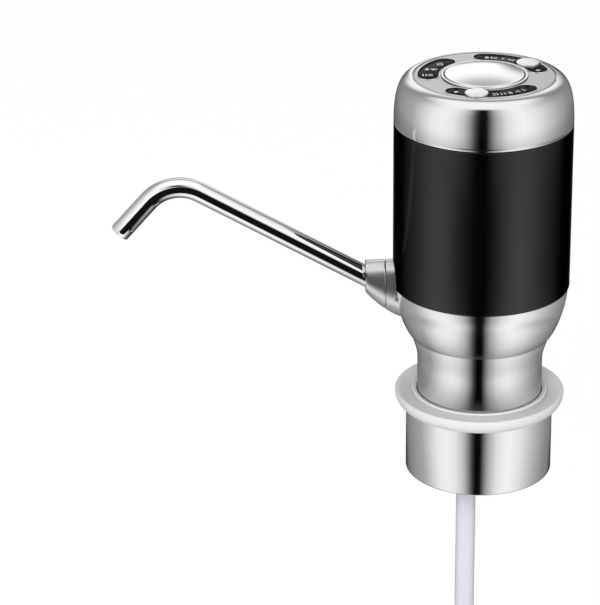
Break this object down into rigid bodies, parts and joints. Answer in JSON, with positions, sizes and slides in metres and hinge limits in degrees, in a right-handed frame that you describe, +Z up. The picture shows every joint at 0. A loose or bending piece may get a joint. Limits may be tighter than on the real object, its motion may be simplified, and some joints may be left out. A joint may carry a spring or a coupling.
{
  "type": "bottled water pump",
  "caption": "Battery pump that stands on a large water bottle's neck: capped round housing, bent spout, touch controls on top, collar, skirt and intake hose.",
  "frame": {"origin": "on the axis of the collar, in the plane where the bottle's mouth meets the mouth seal", "axes": "+Z up along the housing's axis, -X the way the spout points, -Y the front of the controls"},
  "size_m": [0.2398, 0.0748, 0.3556],
  "materials": {
    "satin_silver": "satin silver shell",
    "brushed_silver": "brushed face",
    "polished_steel": "polished",
    "button_silver": "silver plated, satin",
    "satin_black": "satin black",
    "gloss_black": "glossy black",
    "pale_collar": "pale, smooth",
    "clear_hose": "milky, flexible",
    "white_rubber": "soft white",
    "grey_plastic": "dark grey moulded",
    "white_plastic": "white moulded",
    "steel": "plain steel",
    "board_green": "green board",
    "cell_blue": "blue wrapped cell",
    "brass": "turned",
    "red_lead": "insulated lead"
  },
  "bodies": {
    "housing": {"seat_collar": "pale_collar", "mouth_seal": "white_rubber", "neck_skirt": "satin_silver", "lower_housing": "satin_silver", "inlet_fitting": "white_plastic", "sleeve": "satin_black", "spout_socket": "satin_silver", "spout_seal": "white_rubber", "spout_connector": "white_plastic", "inner_frame": "grey_plastic", "battery_cell": "cell_blue", "pump_motor": "steel", "pump_case": "grey_plastic", "wobble_plate": "white_plastic", "diaphragm": "grey_plastic", "valve_plate": "white_plastic", "pump_cover": "grey_plastic", "suction_hose": "clear_hose", "delivery_hose": "clear_hose", "top_cap": "satin_silver", "control_plate": "brushed_silver", "left_window": "gloss_black", "rear_window": "gloss_black", "front_window": "gloss_black", "start_button_ring": "polished_steel", "circuit_board": "board_green", "start_switch": "grey_plastic", "rear_switch": "grey_plastic", "front_switch": "grey_plastic", "charging_port": "steel", "port_bezel": "satin_black", "motor_lead": "red_lead", "battery_lead": "red_lead", "port_lead": "red_lead", "neck_screw_1": "steel", "neck_screw_2": "steel", "neck_screw_3": "steel", "board_screw_1": "steel", "board_screw_2": "steel", "board_screw_3": "steel", "pump_screw_1": "steel", "pump_screw_2": "steel", "intake_hose": "clear_hose", "hose_coil": "clear_hose", "hose_tail": "clear_hose", "hose_tie": "white_rubber"},
    "start_button": {"start_button": "button_silver", "start_plunger": "white_plastic"},
    "rear_button": {"rear_button": "button_silver", "rear_plunger": "white_plastic"},
    "front_button": {"front_button": "button_silver", "front_plunger": "white_plastic"},
    "spout": {"spout_tube": "polished_steel"},
    "rotor": {"motor_shaft": "steel", "crank": "brass"}
  },
  "joints": [
    {"name": "start_press", "type": "slide", "parent": "housing", "child": "start_button", "axis": [0, 0, -1], "range_m": [0, 0.0008], "stiffness_N_per_m": 700, "springref_m": -0.0006},
    {"name": "rear_press", "type": "slide", "parent": "housing", "child": "rear_button", "axis": [0, 0, -1], "range_m": [0, 0.0008], "stiffness_N_per_m": 700, "springref_m": -0.0006},
    {"name": "front_press", "type": "slide", "parent": "housing", "child": "front_button", "axis": [0, 0, -1], "range_m": [0, 0.0008], "stiffness_N_per_m": 700, "springref_m": -0.0006},
    {"name": "spout_swivel", "type": "hinge", "parent": "housing", "child": "spout", "pos_m": [-0.0489, 0, 0.0591], "axis": [-0.8708, 0, 0.4917], "continuous": true},
    {"name": "motor_spin", "type": "hinge", "parent": "housing", "child": "rotor", "pos_m": [0.01, 0, 0.08], "axis": [0, 0, 1], "continuous": true}
  ]
}
